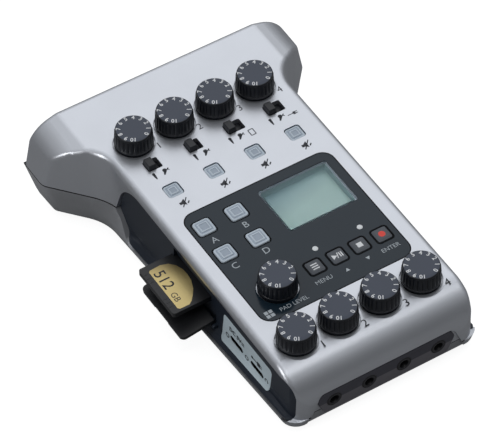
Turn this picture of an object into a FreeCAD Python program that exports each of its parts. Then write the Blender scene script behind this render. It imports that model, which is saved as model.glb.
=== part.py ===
import FreeCAD, Part
import math
import os

Vec = FreeCAD.Vector
AXES = {"x": Vec(1, 0, 0), "y": Vec(0, 1, 0), "z": Vec(0, 0, 1)}
TINY = 0.001
LEAST_RADIUS = 0.3

# Housing, in millimetres: the control panel lies in the plane Z = 0 and the base slopes under it
PANEL_TILT = 5.75
REAR_Y = 28.5
FRONT_Y = -126.0
FRONT_THICKNESS = 24.1
PARTING_Z = -19.4
GROOVE_WIDTH = 0.3
GROOVE_DEPTH = 0.7
RIM_HEIGHT = 4.5
BODY_HALF = 37.6
RIM_FLARE = 1.9
WING_HALF = 56.0
WAIST_Y = -6.5
WALL = 2.2
SIDE_WALL = 3.6
SHOULDER = ((WING_HALF - 14.2, 0.0, 5.0), (WING_HALF - 3.2, -3.3, 14.0), (WING_HALF + 1.2, -18.9, 0.0))
FRONT_ROLL = (16.0, 13.0)
RIDGE_RADIUS = 2.4
BOTTOM_ROUND = ((RIM_HEIGHT, 0.0), (1.3, 0.9), (0.0, 3.0))
FLOOR_INSET = 2.0
TOP_MARGIN = 2.0
TOP_PLAN = ((BODY_HALF - 0.1, FRONT_Y, 7.0), (BODY_HALF - 0.1, WAIST_Y + 9.7, 12.0),
            (WING_HALF - 5.5, REAR_Y - 17.2, 4.0), (WING_HALF - 4.0, REAR_Y, 0.0))
PARTING_PLAN = ((BODY_HALF, FRONT_Y, 6.5), (BODY_HALF, WAIST_Y, 24.0),
                (WING_HALF, REAR_Y - 13.5, 5.0), (WING_HALF, REAR_Y, 0.0))
RIM_PLAN = ((BODY_HALF + RIM_FLARE, FRONT_Y, 6.5), (BODY_HALF + RIM_FLARE, WAIST_Y + 6.0, 20.0),
            (WING_HALF - 4.3, REAR_Y - 12.7, 5.0), (WING_HALF - 4.2, REAR_Y, 0.0))
WING_START_Y = WAIST_Y - 2.5

# Gaps between pieces
FIT_GAP = 0.05
SLIDE_GAP = 0.2
MOVE_GAP = 0.3

# Knobs and what carries them
CHANNEL_MARGIN = 12.1
CHANNEL_PITCH = (BODY_HALF - CHANNEL_MARGIN) / 1.5
CHANNELS = [CHANNEL_PITCH * (i - 1.5) for i in range(4)]
GAIN_Y = 0.0
VOLUME_Y = -107.65
PAD_KNOB = (-18.35, -84.5)
KNOB_TOP_RADIUS = 6.4
KNOB_BASE_RADIUS = 7.2
KNOB_HEIGHT = 7.15
KNOB_SKIRT = 2.2
KNOB_CAP_BAND = 1.3
KNOB_CAP_TAPER = 0.2
KNOB_EDGE = 0.25
KNOB_RIBS = 24
KNOB_RIB_DEPTH = 0.35
KNOB_RECESS_RADIUS = 8.2
KNOB_RECESS_DEPTH = 0.9
STEM_RADIUS = 3.0
STEM_HOLE_GAP = 0.4
POT_HALF = 4.5
POT_HEAD_DROP = 0.8
POT_NECK_RADIUS = 3.8
POT_BORE_FLOOR = 0.6

# Input switches: slot length of each channel
SWITCH_Y = -12.8
SWITCH_SLOTS = (5.9, 5.9, 7.2, 7.2)
SWITCH_SLOT_WIDTH = 5.2
SWITCH_CAP_LENGTH = 3.3
SWITCH_CAP_TOP = (2.8, 4.2)
SWITCH_CAP_RISE = 2.2
SWITCH_SHOE = (0.6, 0.5, 0.6)
SWITCH_STEM = 2.0
SWITCH_STEM_DEPTH = 2.4
SWITCH_BODY = (3.0, 3.25)

# Keys: hole size and corner radius
KEY_GAP = 0.18
KEY_FLANGE = (0.8, 0.8)
KEY_TRAVEL = 0.8
KEY_FLOAT = 0.1
MUTE_Y = -27.0
MUTE_KEY = (6.45, 1.3, -0.35, 4.3, 0.25)
PAD_ORIGIN = (-25.5, -47.9)
PAD_STEP = (13.2, -14.1)
PAD_KEY = (7.2, 1.2, 0.45, 5.2, 0.2)
TRANSPORT_X = -2.65
TRANSPORT_PITCH = 9.24
TRANSPORT_Y = -83.9
TRANSPORT_KEY = (6.2, 1.0, 0.2, 4.6, 0.2)
TACT_HALF = 2.2
LED_POINTS = ((1.97, -76.9), (20.45, -76.9))
LED_RADIUS = 0.85

# Overlay and display
OVERLAY_BOX = (-31.0, 31.0, -97.0, -39.5)
OVERLAY_RADIUS = 5.0
OVERLAY_THICKNESS = 0.4
WINDOW_BOX = (-1.2, 27.4, -65.6, -43.9)
WINDOW_RADIUS = 1.0
WINDOW_THICKNESS = 1.1
WINDOW_SINK = 0.2
WINDOW_LEDGE = 0.8
LCD_MARGIN = 2.2
LCD_TOP_Z = -2.6
LCD_FRAME = (2.0, 0.8)

# Boards
BOARD_THICKNESS = 1.6
CONTROL_BOARD_Z = -8.6
CONTROL_BOARD_Y = (-113.0, 11.0)
BOARD_EDGE_GAP = 0.6
BOARD_HALF = BODY_HALF - SIDE_WALL - BOARD_EDGE_GAP
MAIN_BOARD_Z = -18.3
MAIN_BOARD_REAR_Y = -41.5
STANDOFFS = ((-20.0, -50.0), (20.0, -50.0), (-20.0, -100.0), (20.0, -100.0))
STANDOFF_RADIUS = 2.2

# Side panels: the leaf outline in Y and Z, and the concave section over the height above the base
LEAF = ((-8.0, -20.6, 1.0), (-12.0, -3.0, 14.0), (-123.8, -3.1, 6.5), (-123.6, -22.0, 6.0),
        (-17.5, -31.2, 6.0))
LEAF_FLOOR_X = BODY_HALF - 2.6
LEAF_FACE_X = BODY_HALF - 1.15
LEAF_SKIN = ((BODY_HALF + RIM_FLARE, 3.4, 0.0), (LEAF_FACE_X + 0.35, 8.0, 6.0), (LEAF_FACE_X, 42.0, 0.0))
LEAF_SINK = 0.6

# Front sockets
STRIP = ((26.5, -11.3, 2.5), (28.2, -14.6, 2.0), (25.2, -21.6, 2.0))
STRIP_SINK = 0.6
STRIP_BACK = 2.1
FRONT_RECESS = ((27.4, -10.6, 3.0), (31.5, -20.5, 0.0), (33.6, -27.0, 0.0))
FRONT_RECESS_DEPTH = 1.6
CORNER = (31.8, 34.2, FRONT_Y + 7.5)
JACK_Z = -16.4
JACK_PITCH = 14.25
JACK_BODY = (6.4, 6.0, 12.9)
JACK_NOSE_RADIUS = 2.9
JACK_BORE_RADIUS = 1.8
JACK_BACK_WALL = 0.6

# Screws and bosses
REAR_SCREW = (BODY_HALF - 4.6, -5.2)
FRONT_SCREW = (JACK_PITCH, FRONT_Y + 8.0)
SCREW_POINTS = [(side * x, y) for x, y in (REAR_SCREW, FRONT_SCREW) for side in (-1, 1)]
BOSS_RADIUS = 2.8
BOSS_GAP = 0.35
SCREW_RADIUS = 1.2
SCREW_HEAD = (2.4, 1.6, 0.6)
SCREW_GAP = 0.3
SCREW_REACH = 5.0
DRIVE_WIDTH = (2.6, 0.5, 0.7)

# Rear connectors
REAR_PANEL = (WING_HALF - 5.7, -5.2, -35.2, 9.0)
REAR_PANEL_SINK = 0.5
REAR_FLANGE = (1.0, 1.5)
XLR_PITCH = 24.0
XLR_Z = -22.0
XLR_RADIUS = 11.0
XLR_BORE_RADIUS = 9.6
XLR_INSERT_RADIUS = 7.7
XLR_INSERT_SINK = 1.5
XLR_START_Y = 13.0
XLR_BACK_WALL = 1.5
XLR_PIN = (3.57, 1.25, 10.0)
LATCH = (7.0, 3.0)
LATCH_Z = -8.3
LATCH_PROUD = 1.2
LATCH_FLANGE = (0.5, 1.4)
LATCH_TRAVEL = 1.5

# Memory card, its socket and its cover
CARD_Y = (-68.0, -44.0)
CARD_Z = (-13.05, -10.95)
CARD_LENGTH = 32.0
CARD_OUT = 12.9
CARD_X = (-BODY_HALF - CARD_OUT, -BODY_HALF - CARD_OUT + CARD_LENGTH)
CARD_CUT = 3.0
CARD_PUSH = 11.0
CARD_SLOT_GAP = 0.25
SOCKET_WALL = 1.2
SOCKET_END_GAP = 0.4
COVER_Y = (-73.4, -45.6)
COVER_HINGE = (-BODY_HALF - 0.3, PARTING_Z + 0.1)
COVER_LENGTH = 12.6
COVER_THICKNESS = 1.4
COVER_OFFSET = 1.0
COVER_OPEN = 99.0
COVER_BARREL = (0.85, 0.5)
COVER_GRIP = (9.0, 4.0, 0.7)
COVER_EAR = 1.1

# Data sockets
PORT_PLATE = ((-78.9, -8.2, 1.5), (-109.8, -8.0, 1.5), (-108.5, -19.5, 1.5), (-77.3, -22.5, 1.5))
PORT_PLATE_DEPTH = 1.3
USB_CENTRES = (-87.05, -100.3)
USB_Z = -16.6
USB_SIZE = (8.34, 2.56)
USB_SHELL = 0.35
USB_DEPTH = 8.0
USB_TONGUE = (6.6, 0.7)
USB_FACE_X = -LEAF_FACE_X - 0.15

# Right side: power slider, phone socket and adapter port
SLIDER_Y = -37.0
SLIDER_Z = -13.0
SLIDER_CAP = (8.0, 3.0)
SLIDER_RANGE = (-2.0, 2.5)
SLIDER_SLOT_SPARE = 0.6
SLIDER_PROUD = 0.9
SLIDER_SHOE = (1.0, 1.0)
PHONE_Y = -60.0
PHONE_BODY = (6.4, 6.2, 12.0)
PHONE_NOSE_X = LEAF_FACE_X - 0.05
ADAPTER_Y = (-100.0, -80.0)
ADAPTER_Z = (-17.6, -10.6)
ADAPTER_DEPTH = 8.0
ADAPTER_TONGUE = (14.0, 1.6, 4.0)
ADAPTER_COVER = (0.8, 1.2, 1.4)
ADAPTER_PLUG = 1.4

# Battery bay and base
BAY = (27.0, -38.0, -6.0)
BAY_HEIGHT = 15.0
BAY_WALL = 1.5
COVER_SEAT = 2.0
BAY_LEDGE = 1.2
COVER_DEPTH = COVER_SEAT - BAY_LEDGE / 2
COVER_PIN = (0.4, 0.9)
COVER_GROOVE = (7.0, 0.4, 1.6, 3.0)
PIN_GAP = 0.05
CONTACT = (10.0, 0.5)
CONTACT_SPRING = (3.2, 2.4)
FOOT_RADIUS = 4.5
FOOT_STAND = 1.9
FOOT_SEAT = 0.5
FOOT_CHAMFER = 0.4
REAR_FOOT = (WING_HALF - 14.0, REAR_Y - 6.5)
FRONT_FOOT = (BODY_HALF - 9.6, FRONT_Y + 14.0)
FEET = [(side * x, y) for x, y in (REAR_FOOT, FRONT_FOOT) for side in (-1, 1)]


def outline(corners, lift):
    points = [Vec(c[0], c[1], 0) for c in corners]
    radii = [c[2] if len(c) > 2 else 0.0 for c in corners]
    bends = []
    for i, corner in enumerate(points):
        back = (points[i - 1] - corner).normalize()
        ahead = (points[(i + 1) % len(points)] - corner).normalize()
        half = back.getAngle(ahead) / 2
        reach = radii[i] / math.tan(half)
        middle = corner + (back + ahead).normalize() * (radii[i] / math.sin(half) - radii[i])
        bends.append((corner + back * reach, middle, corner + ahead * reach))
    edges = []
    for i, (start, middle, end) in enumerate(bends):
        if radii[i] > 0:
            edges.append(Part.Arc(lift(start), lift(middle), lift(end)).toShape())
        following = bends[(i + 1) % len(bends)][0]
        if end.distanceToPoint(following) > TINY:
            edges.append(Part.LineSegment(lift(end), lift(following)).toShape())
    return Part.Wire(edges)


def placed(axis, level):
    if axis == "x":
        return lambda p: Vec(level, p.x, p.y)
    if axis == "y":
        return lambda p: Vec(p.x, level, p.y)
    return lambda p: Vec(p.x, p.y, level)


def prism(corners, start, end, axis="z"):
    face = Part.Face(outline(corners, placed(axis, start)))
    return face.extrude(AXES[axis] * (end - start))


def rod(centre, radius, start, end, axis="z"):
    lift = placed(axis, start)
    return Part.makeCylinder(radius, end - start, lift(Vec(centre[0], centre[1], 0)), AXES[axis])


def block(x0, x1, y0, y1, z0, z1):
    return Part.makeBox(x1 - x0, y1 - y0, z1 - z0, Vec(x0, y0, z0))


def tile(centre, size, radius=0.0):
    a, b = centre
    w, h = size[0] / 2, size[1] / 2
    return [(a - w, b - h, radius), (a + w, b - h, radius), (a + w, b + h, radius), (a - w, b + h, radius)]


def framed(box, radius, grow=0.0):
    centre = ((box[0] + box[1]) / 2, (box[2] + box[3]) / 2)
    size = (box[1] - box[0] + 2 * grow, box[3] - box[2] + 2 * grow)
    return tile(centre, size, max(radius + grow, 0.0) if radius else 0.0)


def both_sides(right):
    left = [(-c[0],) + tuple(c[1:]) for c in reversed(right)]
    return list(right) + left


def inset_corners(corners, inset):
    result = []
    for i, corner in enumerate(corners):
        before, after = corners[i - 1], corners[(i + 1) % len(corners)]
        u = Vec(corner[0] - before[0], corner[1] - before[1], 0).normalize()
        v = Vec(after[0] - corner[0], after[1] - corner[1], 0).normalize()
        side = Vec(-u.y - v.y, u.x + v.x, 0) * (inset / (1 + u.dot(v)))
        turn = 1 if u.cross(v).z > 0 else -1
        radius = max(corner[2] - turn * inset, LEAST_RADIUS) if corner[2] > 0 else 0.0
        result.append((corner[0] + side.x, corner[1] + side.y, radius))
    return result


def joined(shapes):
    return shapes[0].fuse(shapes[1:])


def without(shape, tools):
    return shape.cut(tools)


def moved(shape, x, y, z=0.0):
    shape = shape.copy()
    shape.translate(Vec(x, y, z))
    return shape


def mirrored(shape):
    return shape.mirror(Vec(0, 0, 0), AXES["x"])


# Base pieces are drawn with Z as the height over the base plane
TILT = math.radians(PANEL_TILT)
BASE_DROP = FRONT_THICKNESS * math.cos(TILT) - FRONT_Y * math.sin(TILT)


def base_z(y):
    return -FRONT_THICKNESS - (y - FRONT_Y) * math.tan(TILT)


def base_y(y):
    return y * math.cos(TILT) - base_z(y) * math.sin(TILT)


def from_base(shape):
    shape = shape.copy()
    shape.translate(Vec(0, 0, -BASE_DROP))
    shape.rotate(Vec(0, 0, 0), AXES["x"], -PANEL_TILT)
    return shape


# Housing halves: ruled lofts between plans, trimmed by the shoulder and side profiles
def side_profile(inset):
    length, depth = FRONT_ROLL[0] - inset, FRONT_ROLL[1] - inset
    front, top, low = FRONT_Y + inset, -inset, PARTING_Z - TOP_MARGIN
    half_turn = math.sin(math.radians(45))
    start, end = Vec(0, front + length, top), Vec(0, front, top - depth)
    middle = Vec(0, front + length * (1 - half_turn), top - depth * (1 - half_turn))
    corners = [end, Vec(0, front, low), Vec(0, REAR_Y - inset, low), Vec(0, REAR_Y - inset, top), start]
    lines = [Part.LineSegment(a, b).toShape() for a, b in zip(corners, corners[1:])]
    wire = Part.Wire([Part.Arc(start, middle, end).toShape()] + lines)
    wire.translate(Vec(-WING_HALF - TOP_MARGIN, 0, 0))
    return Part.Face(wire).extrude(Vec(2 * (WING_HALF + TOP_MARGIN), 0, 0))


def upper_form(inset):
    levels = []
    for plan, level in ((PARTING_PLAN, PARTING_Z), (TOP_PLAN, TOP_MARGIN)):
        levels.append(outline(inset_corners(both_sides(plan), inset), placed("z", level)))
    shoulders = inset_corners(both_sides(SHOULDER[::-1]), inset)
    lowest = SHOULDER[-1][1] + 2 * WALL + inset
    shoulders = [(x, min(z, PARTING_Z) if z < lowest else z, r) for x, z, r in shoulders]
    trim = prism(shoulders, REAR_Y, FRONT_Y, "y")
    return Part.makeLoft(levels, True, True).common(trim).common(side_profile(inset)).Solids[0]


def lower_form(inset):
    wires = [outline(inset_corners(both_sides(PARTING_PLAN), inset), placed("z", PARTING_Z))]
    for height, extra in BOTTOM_ROUND:
        corners = inset_corners(both_sides(RIM_PLAN), inset + extra)
        wires.append(outline(corners, lambda p, rise=height: Vec(p.x, p.y, base_z(p.y) + inset + rise)))
    return Part.makeLoft(wires, True, True)


def ridge_edges(solid):
    chosen = []
    for edge in solid.Edges:
        box = edge.BoundBox
        faces = solid.ancestorsOfType(edge, Part.Face)
        if len(faces) != 2 or box.ZMax < PARTING_Z + RIDGE_RADIUS:
            continue
        middle = edge.valueAt((edge.FirstParameter + edge.LastParameter) / 2)
        normals = [face.normalAt(*face.Surface.parameter(middle)) for face in faces]
        upright = box.ZLength > 8 * max(box.XLength, box.YLength)
        if math.degrees(normals[0].getAngle(normals[1])) > 15 and not upright:
            chosen.append(edge)
    return chosen


def lower_hollow():
    top = inset_corners(both_sides(PARTING_PLAN), WALL)
    floor = inset_corners(both_sides(RIM_PLAN), WALL + FLOOR_INSET)
    wires = [outline(top, placed("z", PARTING_Z))]
    wires.append(outline(floor, lambda p: Vec(p.x, p.y, base_z(p.y) + WALL)))
    return Part.makeLoft(wires, True, True)


def cavity(hollow):
    inner = BODY_HALF - SIDE_WALL
    for side in (-1, 1):
        near, far = sorted((side * inner, side * WING_HALF))
        hollow = hollow.cut(block(near, far, FRONT_Y, WING_START_Y, base_z(REAR_Y), 0))
    return hollow


def leaf(grow, start, end):
    return prism(inset_corners(LEAF, -grow), start, end, "x")


def side_tools():
    tools = []
    pocket = leaf(FIT_GAP, LEAF_FLOOR_X, WING_HALF)
    tools.append(pocket)
    tools.append(mirrored(pocket))
    return tools


def card_slot():
    gap = CARD_SLOT_GAP
    inner = -BODY_HALF + SIDE_WALL + WALL
    return block(-WING_HALF, inner, CARD_Y[0] - gap, CARD_Y[1] + gap, CARD_Z[0] - gap, CARD_Z[1] + gap)


def usb_tool(y, grow, start, end):
    size = (USB_SIZE[0] + 2 * grow, USB_SIZE[1] + 2 * grow)
    return prism(tile((y, USB_Z), size, size[1] / 2 - TINY), start, end, "x")


def slider_slot():
    length = SLIDER_CAP[0] + 2 * (max(-SLIDER_RANGE[0], SLIDER_RANGE[1]) + SLIDER_SLOT_SPARE)
    height = SLIDER_CAP[1] + 2 * MOVE_GAP
    inner = BODY_HALF - SIDE_WALL - WALL
    return prism(tile((SLIDER_Y, SLIDER_Z), (length, height), 0.8), inner, WING_HALF, "x")


def phone_centre():
    return (PHONE_Y, CONTROL_BOARD_Z - BOARD_THICKNESS - PHONE_BODY[1] / 2)


def adapter_window(grow, start, end):
    return prism(framed(ADAPTER_Y + ADAPTER_Z, 1.0, grow), start, end, "x")


def wall_openings():
    inside = BODY_HALF - SIDE_WALL - WALL
    tools = [card_slot(), slider_slot()]
    tools += [usb_tool(y, USB_SHELL + FIT_GAP, -WING_HALF, -inside) for y in USB_CENTRES]
    tools.append(rod(phone_centre(), JACK_NOSE_RADIUS + FIT_GAP, inside, WING_HALF, "x"))
    tools.append(adapter_window(0.0, inside, WING_HALF))
    return tools


def rear_outline(grow):
    half, top, low, radius = REAR_PANEL
    return framed((-half, half, low, top), radius, grow)


def front_tools():
    tools = [prism(both_sides(FRONT_RECESS), FRONT_Y - 1, FRONT_Y + FRONT_RECESS_DEPTH, "y")]
    tools.append(prism(inset_corners(both_sides(STRIP), FIT_GAP), FRONT_Y - 1, FRONT_Y + 2 * WALL, "y"))
    return tools


def shell_tools():
    tools = side_tools() + wall_openings() + front_tools()
    inner = REAR_Y - WALL - FLOOR_INSET - 1
    tools.append(prism(rear_outline(FIT_GAP), inner, REAR_Y + 1, "y"))
    tools.append(prism(rear_outline(REAR_FLANGE[0] + FIT_GAP), inner, REAR_Y - WALL, "y"))
    return tools


def key_cut(centre, key, depth):
    return prism(tile(centre, (key[0], key[0]), key[1]), depth, 1.0)


def pad_points():
    x, y = PAD_ORIGIN
    return [(x + PAD_STEP[0] * column, y + PAD_STEP[1] * row) for row in range(2) for column in range(2)]


def transport_points():
    return [(TRANSPORT_X + TRANSPORT_PITCH * i, TRANSPORT_Y) for i in range(4)]


def mute_points():
    return [(x, MUTE_Y) for x in CHANNELS]


def knob_points():
    return [(x, GAIN_Y) for x in CHANNELS] + [(x, VOLUME_Y) for x in CHANNELS] + [PAD_KNOB]


def switch_slot(i, depth, grow=0.0):
    size = (SWITCH_SLOTS[i] + 2 * grow, SWITCH_SLOT_WIDTH + 2 * grow)
    return prism(tile((CHANNELS[i], SWITCH_Y), size, 0.6), depth, 1.0)


def panel_tools():
    through = -2 * WALL
    tools = [prism(framed(OVERLAY_BOX, OVERLAY_RADIUS), -OVERLAY_THICKNESS, 1.0)]
    for point in knob_points():
        tools.append(rod(point, KNOB_RECESS_RADIUS, -KNOB_RECESS_DEPTH, 1.0))
        tools.append(rod(point, STEM_RADIUS + STEM_HOLE_GAP, through, 1.0))
    tools += [switch_slot(i, through) for i in range(len(CHANNELS))]
    tools += [key_cut(point, MUTE_KEY, through) for point in mute_points()]
    tools += [key_cut(point, PAD_KEY, through) for point in pad_points()]
    tools += [key_cut(point, TRANSPORT_KEY, through) for point in transport_points()]
    tools += [rod(point, LED_RADIUS + FIT_GAP, through, 1.0) for point in LED_POINTS]
    tools.append(prism(framed(WINDOW_BOX, WINDOW_RADIUS), -WINDOW_SINK - WINDOW_THICKNESS, 1.0))
    tools.append(prism(framed(WINDOW_BOX, 0.0, -WINDOW_LEDGE), through, 1.0))
    return tools


def front_corners(gap):
    low_x, rear_x, rear_y = CORNER
    front = [(low_x - gap, FRONT_Y - 1), (WING_HALF, FRONT_Y - 1)]
    shape = front + [(WING_HALF, rear_y + gap), (rear_x - gap, rear_y + gap)]
    tools = [prism(shape, base_z(REAR_Y), PARTING_Z)]
    tools.append(mirrored(tools[0]))
    return tools


def parting_groove():
    plan, end = both_sides(PARTING_PLAN), PARTING_Z + GROOVE_WIDTH
    inside = prism(inset_corners(plan, GROOVE_DEPTH), PARTING_Z, end)
    corners = [moved(corner, 0, 0, 2 * GROOVE_WIDTH) for corner in front_corners(0.0)]
    return without(prism(plan, PARTING_Z, end), [inside] + corners)


def top_shell():
    outer = upper_form(0.0)
    outer = outer.makeFillet(RIDGE_RADIUS, ridge_edges(outer))
    shell = outer.cut(cavity(upper_form(WALL)))
    bosses = [rod(point, BOSS_RADIUS, PARTING_Z, -WALL + TINY) for point in SCREW_POINTS]
    walls = lower_form(0.0).cut(cavity(lower_hollow()))
    skirts = [walls.common(corner) for corner in front_corners(0.0)]
    shell = joined([shell] + skirts + [boss.common(upper_form(TINY)) for boss in bosses])
    pilots = [rod(point, SCREW_RADIUS, PARTING_Z, PARTING_Z + SCREW_REACH) for point in SCREW_POINTS]
    return without(shell, [parting_groove()] + pilots + shell_tools() + panel_tools())


def bay_box(grow, low, high):
    half, front, rear = BAY
    return from_base(block(-half - grow, half + grow, base_y(front) - grow, base_y(rear) + grow, low, high))


def cover_axis():
    return (base_y(BAY[1]) + MOVE_GAP + COVER_DEPTH / 2, COVER_DEPTH / 2)


def cover_pin(radius, reach):
    return from_base(rod(cover_axis(), radius, -BAY[0] - reach, BAY[0] + reach, "x"))


def bottom_shell():
    outer = lower_form(0.0)
    shell = outer.cut(cavity(lower_hollow()))
    pieces = []
    for point in SCREW_POINTS:
        pieces.append(rod(point, BOSS_RADIUS, base_z(REAR_Y), PARTING_Z).common(outer))
    for point in STANDOFFS:
        post = rod(point, STANDOFF_RADIUS, base_z(point[1]), MAIN_BOARD_Z - BOARD_THICKNESS)
        pieces.append(post.common(lower_form(TINY)))
    pieces.append(bay_box(BAY_WALL, WALL / 2, COVER_SEAT + BAY_HEIGHT + BAY_WALL))
    shell = joined([shell] + pieces)
    tools = front_corners(FIT_GAP)
    tools += [bay_box(0.0, COVER_SEAT, COVER_SEAT + BAY_HEIGHT), bay_box(-BAY_LEDGE, -1, 2 * COVER_SEAT)]
    tools.append(bay_box(0.0, -1, COVER_DEPTH))
    tools.append(cover_pin(COVER_PIN[0] + PIN_GAP, COVER_PIN[1] + PIN_GAP))
    for point in SCREW_POINTS:
        low = base_z(point[1])
        tools.append(rod(point, SCREW_RADIUS + SCREW_GAP, low - 1, PARTING_Z))
        tools.append(rod(point, SCREW_HEAD[0] + SCREW_GAP, low - 1, low + SCREW_HEAD[1] + SCREW_HEAD[2]))
    for x, y in FEET:
        tools.append(from_base(rod((x, base_y(y)), FOOT_RADIUS + FIT_GAP, -1, FOOT_SEAT)))
    return without(shell, tools + shell_tools())


def leaf_skin():
    corners = list(LEAF_SKIN) + [(LEAF_FLOOR_X, LEAF_SKIN[-1][1]), (LEAF_FLOOR_X, LEAF_SKIN[0][1])]
    length = REAR_Y - FRONT_Y
    return from_base(prism(corners, -length, length, "y"))


def side_piece():
    body = leaf(0.0, LEAF_FLOOR_X, WING_HALF).common(leaf_skin())
    halves = [body.common(upper_form(LEAF_SINK)), body.common(lower_form(LEAF_SINK))]
    return joined(halves).removeSplitter()


def port_plate_tool(gap):
    return prism(inset_corners(PORT_PLATE, -gap), -WING_HALF, -LEAF_FACE_X + PORT_PLATE_DEPTH, "x")


def cover_recess():
    hinge_x, hinge_z = COVER_HINGE
    floor = hinge_x + COVER_OFFSET + COVER_THICKNESS + SLIDE_GAP
    gap = MOVE_GAP
    low, high = hinge_z - COVER_BARREL[0] - gap, hinge_z + COVER_LENGTH + gap
    return block(-WING_HALF, floor, COVER_Y[0] - gap, COVER_Y[1] + gap, low, high)


def hinge_ears():
    hinge_x, hinge_z = COVER_HINGE
    radius, pin = COVER_BARREL
    ears = []
    for end, side in ((COVER_Y[0], -1), (COVER_Y[1], 1)):
        face = end + side * MOVE_GAP
        start, stop = sorted((face, face + side * COVER_EAR))
        ears.append(rod(COVER_HINGE, radius, start, stop, "y"))
        ears.append(block(hinge_x, -LEAF_FLOOR_X, start, stop, hinge_z - radius, hinge_z + radius))
        start, stop = sorted((face, end - side * COVER_EAR))
        ears.append(rod(COVER_HINGE, pin, start, stop, "y"))
    return ears


def left_side_panel():
    body = mirrored(side_piece())
    tools = [card_slot(), cover_recess(), port_plate_tool(FIT_GAP)]
    tools += [usb_tool(y, USB_SHELL + FIT_GAP, -WING_HALF, 0) for y in USB_CENTRES]
    return joined([without(body, tools)] + hinge_ears())


def right_side_panel():
    tools = [slider_slot(), rod(phone_centre(), JACK_NOSE_RADIUS + FIT_GAP, 0, WING_HALF, "x")]
    tools.append(adapter_window(0.0, 0, WING_HALF))
    seat = LEAF_FACE_X - ADAPTER_COVER[1]
    tools.append(adapter_window(ADAPTER_COVER[0] + SLIDE_GAP, seat, WING_HALF))
    return without(side_piece(), tools)


def port_plate():
    skin = mirrored(leaf_skin()).common(port_plate_tool(0.0))
    tools = [usb_tool(y, 0.0, -WING_HALF, 0) for y in USB_CENTRES]
    seat = -LEAF_FACE_X + PORT_PLATE_DEPTH
    behind = [usb_tool(y, USB_SHELL + FIT_GAP, USB_FACE_X, seat + 1) for y in USB_CENTRES]
    return without(skin, tools + behind)


def usb_ports():
    ports = []
    for y in USB_CENTRES:
        can = usb_tool(y, USB_SHELL, USB_FACE_X, USB_FACE_X + USB_DEPTH)
        can = can.cut(usb_tool(y, 0.0, USB_FACE_X - 1, USB_FACE_X + USB_DEPTH - 1))
        tongue = prism(tile((y, USB_Z), USB_TONGUE), USB_FACE_X + 1, USB_FACE_X + USB_DEPTH, "x")
        low = USB_Z - USB_SIZE[1] / 2 - USB_SHELL + TINY
        foot = block(USB_FACE_X + 3, USB_FACE_X + USB_DEPTH, y - 3, y + 3, MAIN_BOARD_Z, low)
        ports.append(joined([can, tongue, foot]))
    return Part.makeCompound(ports)


def front_jack_strip():
    start, end = FRONT_Y + STRIP_SINK, FRONT_Y + STRIP_BACK
    strip = prism(both_sides(STRIP), start, end, "y")
    radius = JACK_NOSE_RADIUS + FIT_GAP
    holes = [rod((x, JACK_Z), radius, start - 1, end + 1, "y") for x in jack_positions()]
    return without(strip, holes)


def jack_positions():
    return [JACK_PITCH * (i - 1.5) for i in range(4)]


def headphone_jacks():
    width, height, depth = JACK_BODY
    low, high = JACK_Z - height / 2, JACK_Z + height / 2
    start, front = FRONT_Y + STRIP_BACK, FRONT_Y + STRIP_SINK
    jacks = []
    for x in jack_positions():
        body = block(x - width / 2, x + width / 2, start, start + depth, low, high)
        body = body.fuse(rod((x, JACK_Z), JACK_NOSE_RADIUS, front, start, "y"))
        bore = rod((x, JACK_Z), JACK_BORE_RADIUS, front - 1, start + depth - JACK_BACK_WALL, "y")
        jacks.append(body.cut(bore))
    return Part.makeCompound(jacks)


def xlr_positions():
    return [XLR_PITCH * (i - 1.5) for i in range(4)]


def latch_tool(x, gap, start, end):
    size = (LATCH[0] + 2 * gap, LATCH[1] + 2 * gap)
    return prism(tile((x, LATCH_Z), size, 0.6), start, end, "y")


def rear_connector_panel():
    inner = REAR_Y - WALL - REAR_FLANGE[1]
    plate = prism(rear_outline(0.0), inner, REAR_Y - REAR_PANEL_SINK, "y")
    plate = plate.fuse(prism(rear_outline(REAR_FLANGE[0]), inner, REAR_Y - WALL, "y"))
    holes = [rod((x, XLR_Z), XLR_RADIUS + FIT_GAP, inner - 1, REAR_Y, "y") for x in xlr_positions()]
    slots = [latch_tool(x, MOVE_GAP, inner - 1, REAR_Y) for x in xlr_positions()]
    return without(plate, holes + slots)


def xlr_connectors():
    face = REAR_Y - REAR_PANEL_SINK
    circle, pin_radius, pin_depth = XLR_PIN
    sockets = []
    for x in xlr_positions():
        barrel = rod((x, XLR_Z), XLR_RADIUS, XLR_START_Y, face, "y")
        barrel = barrel.cut(rod((x, XLR_Z), XLR_BORE_RADIUS, XLR_START_Y + XLR_BACK_WALL, REAR_Y, "y"))
        end = face - XLR_INSERT_SINK
        barrel = barrel.fuse(rod((x, XLR_Z), XLR_INSERT_RADIUS, XLR_START_Y, end, "y"))
        for turn in (0, 90, 180):
            angle = math.radians(turn)
            spot = (x + circle * math.cos(angle), XLR_Z - circle * math.sin(angle))
            barrel = barrel.cut(rod(spot, pin_radius, end - pin_depth, REAR_Y, "y"))
        sockets.append(barrel)
    return Part.makeCompound(sockets)


def xlr_latch(x):
    inner = REAR_Y - WALL - REAR_FLANGE[1] - MOVE_GAP
    tab = latch_tool(x, 0.0, inner, REAR_Y + LATCH_PROUD)
    grow, depth = LATCH_FLANGE
    return tab.fuse(latch_tool(x, grow, inner - depth, inner))


def control_overlay():
    sheet = prism(framed(OVERLAY_BOX, OVERLAY_RADIUS, -FIT_GAP), -OVERLAY_THICKNESS, 0)
    tools = [key_cut(point, PAD_KEY, -1) for point in pad_points()]
    tools += [key_cut(point, TRANSPORT_KEY, -1) for point in transport_points()]
    tools += [rod(point, LED_RADIUS + FIT_GAP, -1, 1) for point in LED_POINTS]
    tools.append(rod(PAD_KNOB, KNOB_RECESS_RADIUS, -1, 1))
    tools.append(prism(framed(WINDOW_BOX, WINDOW_RADIUS), -1, 1))
    return without(sheet, tools)


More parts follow.
